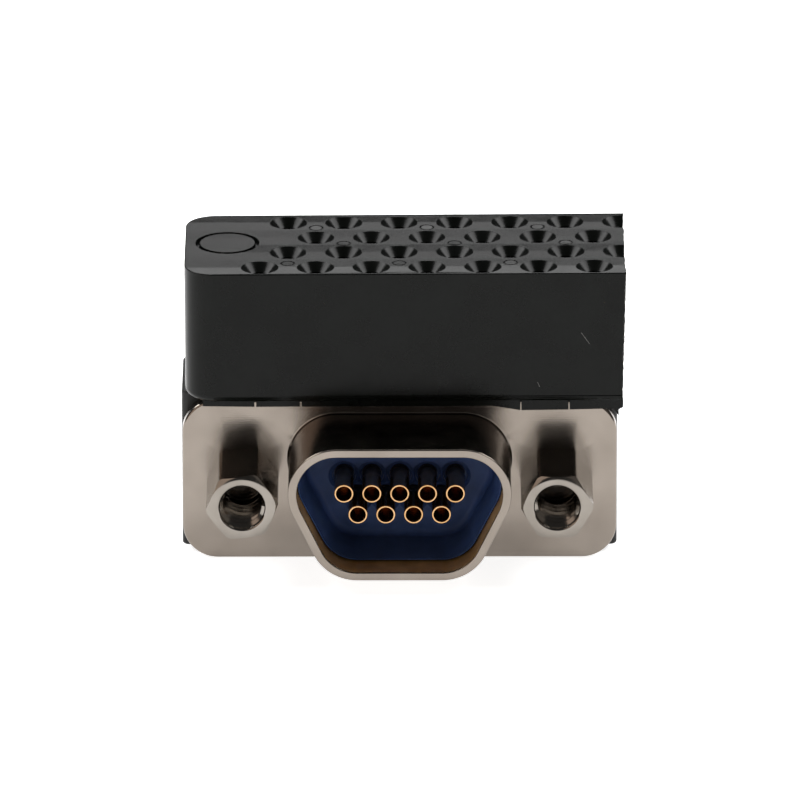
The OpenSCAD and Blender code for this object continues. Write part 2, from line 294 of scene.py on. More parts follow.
    @staticmethod
    def modify(obj: bpy.types.Object, kind: str, **settings: object) -> None:
        """Add a modifier and apply it.

        Args:
            obj: Object to modify.
            kind: Modifier type.
            settings: Modifier properties.
        """
        Bench.activate(obj)
        bpy.ops.object.modifier_add(type=kind)
        modifier = obj.modifiers[-1]
        for key, value in settings.items():
            setattr(modifier, key, value)
        bpy.ops.object.modifier_apply(modifier=modifier.name)

    @staticmethod
    def cap(obj: bpy.types.Object, depth: float) -> None:
        """Fill between the open edges that lie at one depth.

        Args:
            obj: Object that has the open edges.
            depth: Their place along Y.
        """
        with Bench.editing(obj):
            Bench.pick(obj, Part.EDGE, lambda e: e.is_boundary and lies_at(e, Axis.Y, depth * MM, MERGE))
            bpy.ops.mesh.fill(use_beauty=True)

    @staticmethod
    def carve(obj: bpy.types.Object, tool: bpy.types.Object, operation: str = "DIFFERENCE") -> None:
        """Apply a tool body to an object and throw the tool away."""
        Bench.modify(obj, "BOOLEAN", object=tool, operation=operation, solver="EXACT")
        bpy.data.objects.remove(tool)

    @staticmethod
    def copy(obj: bpy.types.Object, name: str, shift: Sequence[float]) -> bpy.types.Object:
        """Duplicate an object with its own mesh and move that mesh.

        Args:
            obj: Object to copy.
            name: Name of the copy.
            shift: How far the copy moves.

        Returns:
            The copy.
        """
        Bench.activate(obj)
        bpy.ops.object.duplicate(linked=False)
        twin = Bench.named(name)
        with Bench.editing(twin):
            bpy.ops.transform.translate(value=Vector(shift) * MM)
        return twin

    @staticmethod
    def join(*objects: bpy.types.Object) -> bpy.types.Object:
        """Join two or more objects into the first one.

        Args:
            objects: What is joined.

        Returns:
            The first object.
        """
        Bench.activate(*objects)
        bpy.ops.object.join()
        return objects[0]

    @staticmethod
    def smooth(obj: bpy.types.Object, angle: float = 32) -> None:
        """Shade an object smooth, with its large faces kept flat.

        Args:
            obj: Object to shade.
            angle: Sharpest edge that is still smooth, in degrees.
        """
        Bench.activate(obj)
        bpy.ops.object.shade_smooth_by_angle(angle=math.radians(angle))
        Bench.modify(obj, "WEIGHTED_NORMAL", keep_sharp=True)


class NodeBoard:
    """Node tree of one material, with short calls that add and wire nodes."""

    # Range that most of a noise lies in.
    noise_middle: Point = (0.3, 0.7)

    def __init__(self, name: str) -> None:
        """Start a material with a plain Principled shader.

        Args:
            name: Name of the material.
        """
        self.material = bpy.data.materials.new(name)
        self.material.use_nodes = True
        self.tree = self.material.node_tree
        self.shader = self.tree.nodes["Principled BSDF"]
        self.coordinates = self.tree.nodes.new("ShaderNodeTexCoord").outputs["Object"]

    def add(self, kind: str, sockets: dict[str, object], **settings: object) -> bpy.types.Node:
        """Add a node.

        Args:
            kind: Node type.
            sockets: Constant values and links by socket name.
            settings: Node properties.

        Returns:
            The new node.
        """
        node = self.tree.nodes.new(kind)
        for key, value in settings.items():
            setattr(node, key, value)
        for key, value in sockets.items():
            self.put(node, key, value)
        return node

    def put(self, node: bpy.types.Node, key: str, value: object) -> None:
        """Set a socket to a constant, or wire it to another socket.

        Args:
            node: Node that has the socket.
            key: Name of the socket.
            value: The constant, or the socket that feeds it.
        """
        if isinstance(value, bpy.types.NodeSocket):
            self.tree.links.new(value, node.inputs[key])
        else:
            node.inputs[key].default_value = value

    def millimetres(self, stretch: Sequence[float] = (1, 1, 1)) -> bpy.types.NodeSocket:
        """Object coordinates in millimetres, stretched along the axes."""
        scale = [METRE * s for s in stretch]
        return self.add("ShaderNodeMapping", {"Vector": self.coordinates, "Scale": scale}).outputs["Vector"]

    def noise(self, vector: bpy.types.NodeSocket, size: float, detail: float = 3) -> bpy.types.NodeSocket:
        """Noise whose blotches are about this size in millimetres."""
        node = self.add("ShaderNodeTexNoise", {"Vector": vector, "Scale": 1 / size, "Detail": detail})
        return node.outputs["Fac"]

    def spread(self, value: bpy.types.NodeSocket, low: float, high: float) -> bpy.types.NodeSocket:
        """Stretch the middle of a noise to a range.

        Args:
            value: The noise.
            low: Lower end of the range.
            high: Upper end of the range.

        Returns:
            The stretched noise.
        """
        least, most = self.noise_middle
        node = self.add("ShaderNodeMapRange", {"Value": value, "From Min": least, "From Max": most,
                                               "To Min": low, "To Max": high})
        return node.outputs["Result"]

    def ramp(self, value: bpy.types.NodeSocket,
             stops: Sequence[tuple[float, Colour]]) -> bpy.types.NodeSocket:
        """Colours along a value.

        Args:
            value: Value from 0 to 1.
            stops: Place and colour of both ends.

        Returns:
            The colour.
        """
        node = self.add("ShaderNodeValToRGB", {"Fac": value})
        for element, (place, colour) in zip(node.color_ramp.elements, stops):
            element.position = place
            element.color = (*colour, 1)
        return node.outputs["Color"]

    def bump(self, height: bpy.types.NodeSocket, depth: float,
             below: bpy.types.NodeSocket | None = None) -> bpy.types.NodeSocket:
        """Fine relief of a surface.

        Args:
            height: Height from 0 to 1.
            depth: What a height of 1 measures, in micrometres.
            below: Relief that this one lies on, if there is one.

        Returns:
            The normal.
        """
        sockets = {"Height": height, "Distance": depth * MICRON, "Strength": 1.0}
        if below is not None:
            sockets["Normal"] = below
        return self.add("ShaderNodeBump", sockets).outputs["Normal"]


@dataclass(frozen=True)
class Lines:
    """Fine tool marks that lie level on a surface: period in millimetres and depth in micrometres."""

    period: float
    depth: float
    waver: float = 1.5
    waver_detail: float = 2.0
    waver_scale: float = 0.6

    def height(self, board: NodeBoard) -> bpy.types.NodeSocket:
        """Height of the marks.

        Args:
            board: Material that they are in.

        Returns:
            The height from 0 to 1.
        """
        # The wave texture runs through 20 radians in one unit.
        period_at_scale_one = 2 * math.pi / 20
        node = board.add("ShaderNodeTexWave",
                         {"Vector": board.millimetres(), "Scale": period_at_scale_one / self.period,
                          "Distortion": self.waver, "Detail": self.waver_detail,
                          "Detail Scale": self.waver_scale},
                         wave_type="BANDS", bands_direction="Z")
        return node.outputs["Fac"]


@dataclass(frozen=True)
class Scratches:
    """Sparse hair lines that run along one direction, with their depth in micrometres."""

    stretch: tuple[float, float, float]
    size: float
    depth: float
    # Part of the noise's range that is line, and how much more fades into it.
    share: float
    fade: float = 0.04

    def height(self, board: NodeBoard) -> bpy.types.NodeSocket:
        """Height of the lines: dips where a stretched noise is near its top.

        Args:
            board: Material that they are in.

        Returns:
            The height from 0 to 1.
        """
        value = board.noise(board.millimetres(self.stretch), self.size, detail=1)
        edge = 1 - self.share
        return board.ramp(value, [(edge - self.fade, WHITE), (edge, BLACK)])


@dataclass(frozen=True)
class Finish:
    """Surface of one material slot: colour that drifts, uneven gloss, grain and tool marks.

    Sizes are millimetres, and depths are micrometres.
    """

    slot: str
    dark: Colour
    light: Colour
    roughness: tuple[float, float]
    metallic: float = 0.0
    specular: float = 0.5
    glow: float = 0.0
    mottle: float = 1.5
    # Values of the mottle's noise where the colour is all dark and all light.
    mottle_ends: Point = (0.35, 0.65)
    # Size of the gloss's blotches against the colour's.
    gloss_share: float = 0.6
    grain: float = 0.05
    grain_depth: float = 1.0
    swell: float = 2.0
    swell_depth: float = 0.0
    lines: Lines | None = None
    scratches: Scratches | None = None

    def material(self) -> bpy.types.Material:
        """Build the material.

        Returns:
            The material.
        """
        board = NodeBoard(self.slot)
        place = board.millimetres()
        board.put(board.shader, "Metallic", self.metallic)
        board.put(board.shader, "Specular IOR Level", self.specular)
        board.put(board.shader, "Emission Color", (*WHITE, 1))
        board.put(board.shader, "Emission Strength", self.glow)
        stops = list(zip(self.mottle_ends, (self.dark, self.light)))
        board.put(board.shader, "Base Color", board.ramp(board.noise(place, self.mottle), stops))
        gloss = board.spread(board.noise(place, self.mottle * self.gloss_share), *self.roughness)
        board.put(board.shader, "Roughness", gloss)
        normal = board.bump(board.noise(place, self.grain, detail=2), self.grain_depth)
        if self.swell_depth:
            normal = board.bump(board.noise(place, self.swell, detail=1), self.swell_depth, normal)
        for marks in (self.lines, self.scratches):
            if marks:
                normal = board.bump(marks.height(board), marks.depth, normal)
        board.put(board.shader, "Normal", normal)
        log.info("finish %s", self.slot)
        return board.material


@dataclass(frozen=True)
class Outline:
    """Symmetric outline in the mating face, given by its corner centres: half widths and half height."""

    upper: float
    lower: float
    height: float

    def carry(self, name: str, section: Sequence[Point], steps: int) -> bpy.types.Object:
        """Carry an open section round the outline.

        Args:
            name: Name of the new object.
            section: Distance out from the corner centres, and depth, of every corner.
            steps: Stretches in each rounded corner.

        Returns:
            The strip that the section sweeps.
        """
        obj = Bench.polyline(name, [(0, depth, -self.height - out) for out, depth in section])
        lean = self.upper - self.lower
        slant = math.degrees(math.atan2(lean, 2 * self.height))
        with Bench.editing(obj):
            Bench.extrude((self.lower, 0, 0))
            Bench.spin(90 - slant, (self.lower, 0, -self.height), steps)
            Bench.extrude((lean, 0, 2 * self.height))
            Bench.spin(90 + slant, (self.upper, 0, self.height), steps)
            Bench.extrude((-self.upper, 0, 0))
        Bench.modify(obj, "MIRROR", use_axis=(True, False, False), merge_threshold=MERGE)
        return obj


# Outline of the insulator's plug, in millimetres, and of the pocket that takes it.
PLUG = Outline(2.88, 1.93, 0.93)


@dataclass
class Piece:
    """A modelled sub-part that stands for one CAD node."""

    node: str
    slot: str
    body: Body

    def low(self) -> Vector:
        """Lowest corner of the CAD node, in millimetres."""
        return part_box(self.node)[0] / MM

    def high(self) -> Vector:
        """Highest corner of the CAD node, in millimetres."""
        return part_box(self.node)[1] / MM

    def middle(self) -> Vector:
        """Middle of the CAD node's box, in millimetres."""
        return (self.low() + self.high()) / 2

    def model(self) -> bpy.types.Object:
        """Build the mesh."""
        raise NotImplementedError

    def place(self, materials: Materials) -> None:
        """Build the piece, hang it on its body, and dress it.

        Args:
            materials: Material of every slot.
        """
        piece = self.model()
        Bench.smooth(piece)
        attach(piece, self.body.value)
        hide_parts(self.node)
        piece.data.materials.clear()
        piece.data.materials.append(materials[self.slot])
        self.dress(piece, materials)
        log.info("%s: %d faces for %s", piece.name, len(piece.data.polygons), self.node)

    def dress(self, piece: bpy.types.Object, materials: Materials) -> None:
        """Give some faces another finish. Most pieces have one finish only."""

    @staticmethod
    def second_finish(piece: bpy.types.Object, material: bpy.types.Material,
                      test: Callable[..., bool]) -> None:
        """Give some faces a second material.

        Args:
            piece: Piece that has the faces.
            material: Their material.
            test: Takes one face and says whether it is one of them.
        """
        piece.data.materials.append(material)
        with Bench.editing(piece):
            Bench.pick(piece, Part.FACE, test)
            piece.active_material_index = len(piece.data.materials) - 1
            bpy.ops.object.material_slot_assign()


@dataclass
class Shell(Piece):
    """Plated shell: flange with rounded edges, and a D shroud with a rounded rim and a filleted foot."""

    node: str = "shell"
    slot: str = "nickel_shell"
    body: Body = Body.CONNECTOR
    shroud: Outline = Outline(2.88, 1.93, 0.98)
    shroud_r: float = 2.2
    wall: float = 0.39
    reach: float = 4.7
    rim_inner: float = 0.06
    rim_inner_steps: int = 6
    rim_outer: float = 0.06
    rim_outer_steps: int = 8
    foot: float = 0.08
    foot_steps: int = 12
    flange: Outline = Outline(8.33, 8.33, 2.27)
    flange_r: float = 1.6
    flange_t: float = 0.8
    front_edge: float = 0.15
    front_edge_steps: int = 10
    back_edge: float = 0.06
    back_edge_steps: int = 4
    post_x: float = POST_X
    screw_r: float = 1.19
    screw_steps: int = 64
    corner_steps: int = 24

    def shroud_section(self) -> list[Point]:
        """Section of the shroud's wall, from the back of its bore round the rim to the foot.

        Returns:
            Distance out from the corner centres, and depth, of every corner.
        """
        outer, inner, front = self.shroud_r, self.shroud_r - self.wall, -self.reach
        rim_in, rim_out, foot = self.rim_inner, self.rim_outer, self.foot
        return [
            (inner, self.flange_t),
            (inner, 0),
            *arc((inner + rim_in, front + rim_in), rim_in, 180, 270, self.rim_inner_steps),
            *arc((outer - rim_out, front + rim_out), rim_out, 270, 360, self.rim_outer_steps),
            *arc((outer + foot, -foot), foot, 180, 90, self.foot_steps),
        ]

    def flange_section(self) -> list[Point]:
        """Section of the flange's edge, from its front face to its back face.

        Returns:
            Distance out from the corner centres, and depth, of every corner.
        """
        outer, front, back = self.flange_r, self.front_edge, self.back_edge
        return [
            *arc((outer - front, front), front, 270, 360, self.front_edge_steps),
            *arc((outer - back, self.flange_t - back), back, 0, 90, self.back_edge_steps),
        ]

    def screw_hole(self, side: int) -> bpy.types.Object:
        """Wall of one screw hole.

        Args:
            side: -1 for the left hole, 1 for the right one.

        Returns:
            The open tube.
        """
        Bench.activate()
        bpy.ops.mesh.primitive_circle_add(vertices=self.screw_steps, radius=self.screw_r * MM,
                                          location=(side * self.post_x * MM, 0, 0),
                                          rotation=(math.pi / 2, 0, 0))
        hole = Bench.named("screw_hole")
        with Bench.editing(hole):
            Bench.extrude((0, self.flange_t, 0))
        return hole

    def model(self) -> bpy.types.Object:
        """Carry both sections round their outlines and fill the flange's two faces between them.

        Returns:
            The shell.
        """
        shell = self.shroud.carry("shell_visual", self.shroud_section(), self.corner_steps)
        edge = self.flange.carry("flange_edge", self.flange_section(), self.corner_steps)
        Bench.join(shell, edge, self.screw_hole(-1), self.screw_hole(1))
        Bench.clean(shell)
        for depth in (0, self.flange_t):
            Bench.cap(shell, depth)
        Bench.clean(shell)
        return shell

    def dress(self, piece: bpy.types.Object, materials: Materials) -> None:
        """Give the inside of the shroud a browner finish, which is a painted warm reflection of the gold
        sockets.

        Args:
            piece: The shell.
            materials: Material of every slot.
        """
        front = (self.rim_inner - self.reach) * MM
        back = -self.rim_inner * MM

        def inside(face: bmesh.types.BMFace) -> bool:
            """Whether a face of the shroud looks at its middle."""
            centre, normal = face.calc_center_median(), face.normal
            return front - EPS < centre.y < back and normal.x * centre.x + normal.z * centre.z < -EPS

        self.second_finish(piece, materials["shell_bore"], inside)


@dataclass
class Insulator(Piece):
    """Blue moulded cup: drafted wall, filleted floor and a countersunk well for every socket."""

    node: str = "insulator"
    slot: str = "blue_insulator"
    body: Body = Body.CONNECTOR
    plug: Outline = PLUG
    plug_r: float = 1.76
    back_r: float = 2.2
    seat: float = 0.8
    lip: float = 0.03
    draft: float = 0.26
    floor: float = -0.95
    fillet: float = 0.3
    round_steps: int = 8
    pitch: float = 1.27
    # Rows of sockets: how many, and height.
    rows: tuple[tuple[int, float], ...] = ((5, 0.51), (4, -0.51))
    well_r: float = 0.5475
    well_depth: float = 0.35
    well_chamfer: float = 0.17
    bore_r: float = 0.4575
    shoulder_r: float = 0.5175
    shoulder_len: float = 0.4
    past: float = 0.2
    corner_steps: int = 24
    steps: int = 48

    def section(self) -> list[Point]:
        """Section from the back of the plug round its lip to the floor of the cup.

        Returns:
            Distance out from the corner centres, and depth, of every corner.
        """
        front, back = self.low().y, self.high().y
        floor_r = self.plug_r - 2 * self.lip - self.draft
        return [
            (self.back_r, back),
            (self.back_r, self.seat),
            (self.plug_r, self.seat),
            *arc((self.plug_r - self.lip, front + self.lip), self.lip, 360, 180, self.round_steps),
            *arc((floor_r - self.fillet, self.floor - self.fillet), self.fillet, 0, 90, self.round_steps),
        ]

    def well(self, x: float, z: float) -> bpy.types.Object:
        """Cutter of one socket's well, bore and shoulder seat.

        Args:
            x: Place of the socket's axis along X.
            z: Place of the socket's axis along Z.

        Returns:
            The cutter.
        """
        floor, back, past = self.floor, self.high().y, self.past
        return Bench.turned("well", [
            (0, floor - past),
            (self.well_r + self.well_chamfer + past, floor - past),
            (self.well_r, floor + self.well_chamfer),
            (self.well_r, floor + self.well_depth),
            (self.bore_r, floor + self.well_depth),
            (self.bore_r, back - self.shoulder_len),
            (self.shoulder_r, back - self.shoulder_len),
            (self.shoulder_r, back + past),
            (0, back + past),
        ], (x, 0, z), self.steps)

    def model(self) -> bpy.types.Object:
        """Carry the section round the plug, close it, and cut the wells one by one, as they overlap.

        Returns:
            The insulator.
        """
        cup = self.plug.carry("insulator_visual", self.section(), self.corner_steps)
        for depth in (self.floor, self.high().y):
            Bench.cap(cup, depth)
        Bench.clean(cup)
        for count, z in self.rows:
            for i in range(count):
                Bench.carve(cup, self.well((i - (count - 1) / 2) * self.pitch, z))
        return cup


@dataclass
class Jackpost(Piece):
    """Turned hexagonal post with a female thread behind a rounded mouth, and a shank at the back."""

    node: str = "jackpost_left"
    slot: str = "nickel_post"
    body: Body = Body.CONNECTOR
    axis_x: float = -POST_X
    # Turn of the hexagon about its axis, in degrees.
    turn: float = 8
    sides: int = 6
    flats: float = 2.95
    reach: float = 3.7
    hexagon_len: float = 14.8
    nose_r: float = 1.44
    nose_h: float = 0.16
    corner_edge: float = 0.12
    mouth_r: float = 1.165
    mouth_edge: float = 0.14
    mouth_steps: int = 8
    bore_r: float = 1.09
    minor_r: float = 0.89
    bore_depth: float = 3.0
    shank_r: float = 1.09
    shank_end: float = 3.8
    shank_chamfer: float = 0.25
    pitch: float = 0.45
    crest: float = 0.06
    thread_sink: float = 0.02
    thread_gap: float = 0.02
    thread_start: float = 0.1
    thread_spare: float = 0.3
    past: float = 0.1
    steps: int = 72

    def half_flat(self) -> float:
        """Half the angle that one flat takes up, in degrees."""
        return 180 / self.sides

    def hexagon_r(self) -> float:
        """Radius of the hexagon's corners."""
        return self.flats / 2 / math.cos(math.radians(self.half_flat()))

    def turned_bar(self) -> bpy.types.Object:
        """The post as it leaves the lathe, before its flats.

        Returns:
            The bar, wider than the hexagon.
        """
        front, corner, past = -self.reach, self.hexagon_r(), self.past
        slope = (corner - self.nose_r) / self.nose_h
        return Bench.turned("post", [
            (0, front + self.bore_depth),
            (self.bore_r, front + self.bore_depth),
            (self.bore_r, front + 2 * self.mouth_edge - self.mouth_r + self.bore_r),
            *arc((self.mouth_r, front + self.mouth_edge), self.mouth_edge, 180, 270, self.mouth_steps),
            (self.nose_r, front),
            (corner + past, front + self.nose_h + past / slope),
            (corner + past, 0),
            (self.shank_r, 0),
            (self.shank_r, self.shank_end - self.shank_chamfer),
            (self.shank_r - self.shank_chamfer, self.shank_end),
            (0, self.shank_end),
        ], (self.axis_x, 0, 0), self.steps)

    def hexagon(self) -> bpy.types.Object:
        """Hexagonal bar with softened corners, longer than the post.

        Returns:
            The bar.
        """
        Bench.activate()
        bpy.ops.mesh.primitive_cylinder_add(
            vertices=self.sides, radius=self.hexagon_r() * MM, depth=self.hexagon_len * MM,
            location=(self.axis_x * MM, 0, 0),
            rotation=(math.pi / 2, math.radians(self.half_flat() - self.turn), 0))
        bar = Bench.named("hexagon")
        with Bench.editing(bar):
            Bench.pick(bar, Part.EDGE, lambda e: span(e, Axis.Y) > self.reach * MM)
            Bench.bevel(self.corner_edge)
        return bar

    def thread(self) -> bpy.types.Object:
        """Helical ridge of the female thread, closed at both ends.

        Returns:
            The ridge.
        """
        root = self.bore_r + self.thread_sink
        half = self.pitch / 2 - self.thread_gap
        front = -self.reach + self.thread_start
        section = [(root, front - half), (self.minor_r, front - self.crest / 2),
                   (self.minor_r, front + self.crest / 2), (root, front + half)]
        ridge = Bench.polyline("thread", [(r, depth + half, 0) for r, depth in section], closed=True)
        turns = int((self.bore_depth - self.thread_spare) / self.pitch)
        Bench.modify(ridge, "SCREW", axis="Y", screw_offset=self.pitch * MM, iterations=turns,
                     steps=self.steps, render_steps=self.steps, use_merge_vertices=False)
        with Bench.editing(ridge):
            Bench.pick(ridge, Part.EDGE, lambda e: e.is_boundary)
            bpy.ops.mesh.edge_face_add()
            bpy.ops.mesh.select_all(action="SELECT")
            bpy.ops.transform.translate(value=(self.axis_x * MM, 0, 0))
        Bench.clean(ridge)
        return ridge

    def model(self) -> bpy.types.Object:
        """Mill the flats and set the thread's ridge into the bore.

        Returns:
            The post.
        """
        post = self.turned_bar()
        Bench.carve(post, self.hexagon(), "INTERSECT")
        Bench.join(post, self.thread())
        post.name = post.data.name = self.node + "_visual"
        return post


@dataclass
class Socket(Piece):
    """Gold socket tube with a rolled lip, a shoulder and a rear barrel."""

    node: str = "socket_1"
    slot: str = "gold_contact"
    body: Body = Body.CONNECTOR
    tube_r: float = 0.4375
    bore_r: float = 0.315
    bore_depth: float = 3.0
    mouth: float = 0.05
    mouth_depth: float = 0.2
    lip: float = 0.03
    lip_steps: int = 6
    shoulder: float = 0.06
    shoulder_len: float = 0.4
    barrel_r: float = 0.27
    barrel_depth: float = 1.0
    steps: int = 48

    def model(self) -> bpy.types.Object:
        """Turn the tube on its own axis.

        Returns:
            The socket.
        """
        middle, front, back = self.middle(), self.low().y, self.high().y
        mouth_r, lip = self.bore_r + self.mouth, self.lip
        return Bench.turned(self.node + "_visual", [
            (0, front + self.bore_depth),
            (self.bore_r, front + self.bore_depth),
            (self.bore_r, front + self.mouth_depth),
            (mouth_r - lip / 2, front + lip),
            (mouth_r, front),
            *arc((self.tube_r - lip, front + lip), lip, 270, 360, self.lip_steps),
            (self.tube_r, back - self.shoulder_len),
            (self.tube_r + self.shoulder, back - self.shoulder_len),
            (self.tube_r + self.shoulder, back),
            (self.barrel_r, back),
            (self.barrel_r, back - self.barrel_depth),
            (0, back - self.barrel_depth),
        ], (middle.x, 0, middle.z), self.steps)


@dataclass
class Housing(Piece):
    """Moulded right-angle body: stepped block with a plug pocket, insert bores and a tail well."""

    node: str = "housing"
    slot: str = "black_housing"
    body: Body = Body.CONNECTOR
    ear_back: float = 5.5
    core_x: float = 6.83
    corner_r: float = 0.3
    corner_steps: int = 6
    edge_r: float = 0.12
    edge_steps: int = 4
    plug: Outline = PLUG
    plug_r: float = 2.25
    plug_back: float = 2.4
    # Half width and half height of the channel behind the plug.
    channel: Point = (3.14, 1.11)
    # Half width and front of the tail well's narrow stretch, then of its wide one.
    wells: tuple[Point, ...] = ((4.41, 3.0), (5.68, 5.15))
    well_back: float = 6.75
    well_floor: float = 0.76
    ledge: float = 0.3
    ledge_floor: float = 3.2
    insert_x: float = POST_X
    insert_r: float = 1.52
    post_insert_back: float = 3.82
    board_insert_y: float = 3.3
    board_insert_floor: float = 1.88
    past: float = 0.2
    steps: int = 48

    def blank(self) -> bpy.types.Object:
        """Stepped block with rounded outer corners and softened edges above and below.

        Returns:
            The block.
        """
        low, high, core_x, ear_back = self.low(), self.high(), self.core_x, self.ear_back
        right = [(high.x, low.y), (high.x, ear_back), (core_x, ear_back), (core_x, high.y)]
        plan = right + [(-x, y) for x, y in reversed(right)]
        block = Bench.polyline("housing_visual", [(x, y, low.z) for x, y in plan], closed=True)
        inner = Vector((core_x, ear_back)) * MM
        with Bench.editing(block):
            bpy.ops.mesh.edge_face_add()
            Bench.extrude((0, 0, high.z - low.z))
            Bench.pick(block, Part.EDGE, lambda e: span(e, Axis.Z) > MM
                       and (Vector((abs(e.verts[0].co.x), e.verts[0].co.y)) - inner).length > MM)
            Bench.bevel(self.corner_r, self.corner_steps)
            Bench.pick(block, Part.EDGE, lambda e: span(e, Axis.Z) < EPS)
            Bench.bevel(self.edge_r, self.edge_steps)
        Bench.clean(block)
        return block

    def plug_pocket(self) -> bpy.types.Object:
        """Cutter of the pocket that takes the back of the insulator.

        Returns:
            The cutter.
        """
        ends = (self.low().y - self.past, self.plug_back)
        pocket = self.plug.carry("plug_pocket", [(self.plug_r, depth) for depth in ends], self.steps // 4)
        for depth in ends:
            Bench.cap(pocket, depth)
        Bench.clean(pocket)
        return pocket

    def well(self, grow: float, floor: float) -> Iterator[bpy.types.Object]:
        """Cutters of the tail well: narrow between the inserts and wide behind them.

        Args:
            grow: How much wider they are on all sides.
            floor: Height that they reach down to.

        Yields:
            One cutter at a time.
        """
        top = self.high().z + self.past
        for x, front in self.wells:
            corner = (-x - grow, front - grow, floor)
            yield Bench.box("well", corner, (x + grow, self.well_back + grow, top))

    def bores(self, side: int) -> Iterator[bpy.types.Object]:
        """Cutters of the two insert bores on one side.

        Args:
            side: -1 for the left, 1 for the right.

        Yields:
            The bore behind the jackpost, then the bore in the board face.
        """
        x, r = side * self.insert_x, self.insert_r
        for start, end, place, upright in (
                (self.low().y - self.past, self.post_insert_back, (x, 0, 0), False),
                (self.board_insert_floor, self.high().z + self.past, (x, self.board_insert_y, 0), True)):
            profile = [(0, start), (r, start), (r, end), (0, end)]
            yield Bench.turned("bore", profile, place, self.steps, upright)

    def model(self) -> bpy.types.Object:
        """Cut the pockets into the block one by one, as they overlap.

        Returns:
            The housing.
        """
        block = self.blank()
        width, height = self.channel
        Bench.carve(block, self.plug_pocket())
        Bench.carve(block, Bench.box("channel", (-width, self.plug_back - self.past, -height),
                                     (width, self.well_back, height)))
        for grow, floor in ((0, self.well_floor), (self.ledge, self.ledge_floor)):
            for tool in self.well(grow, floor):
                Bench.carve(block, tool)
        for side in (-1, 1):
            for tool in self.bores(side):
                Bench.carve(block, tool)
        return block


@dataclass(frozen=True)
class Groove:
    """Round groove with sloping walls: radius of its middle, width, depth and stretches round it."""

    radius: float
    width: float
    depth: float
    steps: int


